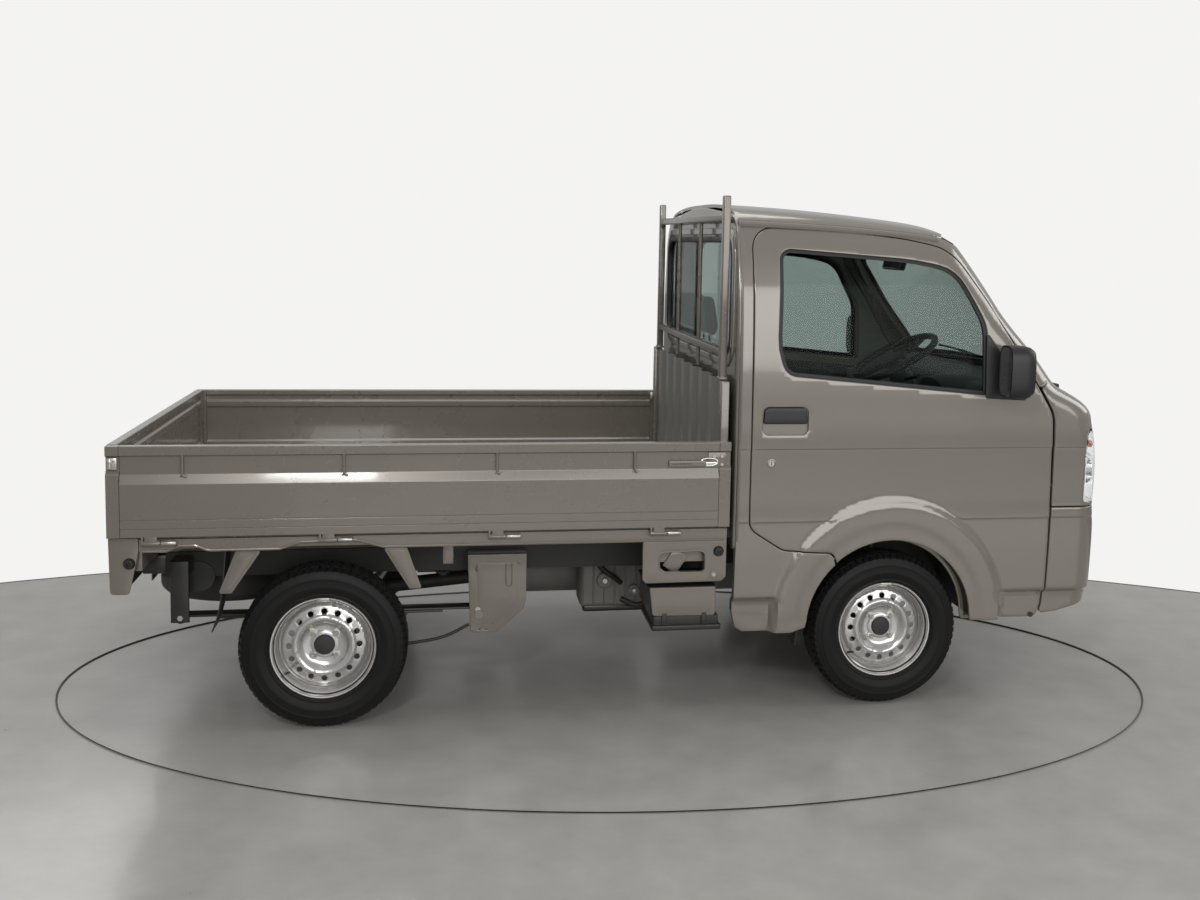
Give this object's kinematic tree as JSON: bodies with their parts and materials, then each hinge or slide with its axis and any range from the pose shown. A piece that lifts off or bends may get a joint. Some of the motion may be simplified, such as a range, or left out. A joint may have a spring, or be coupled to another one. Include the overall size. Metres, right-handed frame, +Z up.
{
  "type": "kei truck",
  "caption": "Small forward-control pickup truck with a steel cab, opening doors, steered wheels and a low load bed with three folding gates.",
  "frame": {"origin": "on the ground under the middle of the overall box, in the plane of symmetry", "axes": "+X to the front of the truck, +Y to its left side, +Z up"},
  "size_m": [3.395, 1.7798, 1.765],
  "materials": {
    "body_paint": "gloss",
    "black_steel": "satin",
    "rim_silver": "satin",
    "tyre": "matte",
    "black_plastic": "satin",
    "grey_plastic": "matte",
    "seat_fabric": "woven",
    "cabin_floor": "satin",
    "cast_metal": "rough",
    "exhaust_steel": "dull",
    "window_glass": "clear",
    "lamp_lens": "clear",
    "tail_lens": "gloss"
  },
  "bodies": {
    "root": {"chassis_frame": "black_steel", "front_suspension": "black_steel", "rear_axle": "black_steel", "leaf_springs": "black_steel", "engine_block": "cast_metal", "gearbox": "cast_metal", "exhaust": "exhaust_steel", "fuel_tank": "black_steel", "spare_wheel": "tyre", "battery_box": "black_plastic", "bed_deck": "body_paint", "bed_side_rails": "body_paint", "rear_sill": "body_paint", "wheel_guards": "black_plastic", "headboard": "body_paint", "guard_frame": "body_paint", "tail_lamps": "tail_lens", "cab_floor": "cabin_floor", "cab_frame": "body_paint", "cab_back": "body_paint", "roof_panel": "body_paint", "front_panel": "body_paint", "front_bumper": "body_paint", "windscreen": "window_glass", "rear_window": "window_glass", "headlamps": "lamp_lens", "wipers": "black_plastic", "dashboard": "grey_plastic", "driver_seat": "seat_fabric", "passenger_seat": "seat_fabric", "cab_controls": "black_plastic"},
    "knuckle_left": {"knuckle_left": "black_steel"},
    "knuckle_right": {"knuckle_right": "black_steel"},
    "wheel_front_left": {"wheel_front_left": "rim_silver", "tyre_front_left": "tyre"},
    "wheel_front_right": {"wheel_front_right": "rim_silver", "tyre_front_right": "tyre"},
    "wheel_rear_left": {"wheel_rear_left": "rim_silver", "tyre_rear_left": "tyre"},
    "wheel_rear_right": {"wheel_rear_right": "rim_silver", "tyre_rear_right": "tyre"},
    "steering_wheel": {"steering_wheel": "black_plastic"},
    "door_left": {"door_left": "body_paint", "door_glass_left": "window_glass", "mirror_left": "black_plastic"},
    "door_right": {"door_right": "body_paint", "door_glass_right": "window_glass", "mirror_right": "black_plastic"},
    "gate_left": {"gate_left": "body_paint"},
    "gate_right": {"gate_right": "body_paint"},
    "tailgate": {"tailgate": "body_paint"}
  },
  "joints": [
    {"name": "steer_left", "type": "hinge", "parent": "root", "child": "knuckle_left", "pos_m": [0.8775, 0.6005, 0.195], "axis": [0, -0.1736, 0.9848], "range_deg": [-35, 35]},
    {"name": "steer_right", "type": "hinge", "parent": "root", "child": "knuckle_right", "pos_m": [0.8775, -0.6005, 0.195], "axis": [0, 0.1736, 0.9848], "range_deg": [-35, 35]},
    {"name": "wheel_front_left_spin", "type": "hinge", "parent": "knuckle_left", "child": "wheel_front_left", "pos_m": [0.8775, 0.6525, 0.268], "axis": [0, 1, 0], "continuous": true},
    {"name": "wheel_front_right_spin", "type": "hinge", "parent": "knuckle_right", "child": "wheel_front_right", "pos_m": [0.8775, -0.6525, 0.268], "axis": [0, 1, 0], "continuous": true},
    {"name": "wheel_rear_left_spin", "type": "hinge", "parent": "root", "child": "wheel_rear_left", "pos_m": [-1.0275, 0.645, 0.268], "axis": [0, 1, 0], "continuous": true},
    {"name": "wheel_rear_right_spin", "type": "hinge", "parent": "root", "child": "wheel_rear_right", "pos_m": [-1.0275, -0.645, 0.268], "axis": [0, 1, 0], "continuous": true},
    {"name": "steering_wheel_turn", "type": "hinge", "parent": "root", "child": "steering_wheel", "pos_m": [1.0025, -0.35, 1.19], "axis": [-0.4848, 0, 0.8746], "range_deg": [-490, 490]},
    {"name": "door_right_swing", "type": "hinge", "parent": "root", "child": "door_right", "pos_m": [1.462, -0.73, 0.9], "axis": [0, 0, 1], "range_deg": [0, 68]},
    {"name": "door_left_swing", "type": "hinge", "parent": "root", "child": "door_left", "pos_m": [1.462, 0.73, 0.9], "axis": [0, 0, -1], "range_deg": [0, 68]},
    {"name": "gate_right_fold", "type": "hinge", "parent": "root", "child": "gate_right", "pos_m": [0, -0.7285, 0.632], "axis": [1, 0, 0], "range_deg": [0, 172]},
    {"name": "gate_left_fold", "type": "hinge", "parent": "root", "child": "gate_left", "pos_m": [0, 0.7285, 0.632], "axis": [-1, 0, 0], "range_deg": [0, 172]},
    {"name": "tailgate_fold", "type": "hinge", "parent": "root", "child": "tailgate", "pos_m": [-1.6835, 0, 0.632], "axis": [0, -1, 0], "range_deg": [0, 172]}
  ],
  "couplings": [
    {"joint": "steer_right", "follows": "steer_left", "ratio": 1},
    {"joint": "steering_wheel_turn", "follows": "steer_left", "ratio": 14}
  ]
}
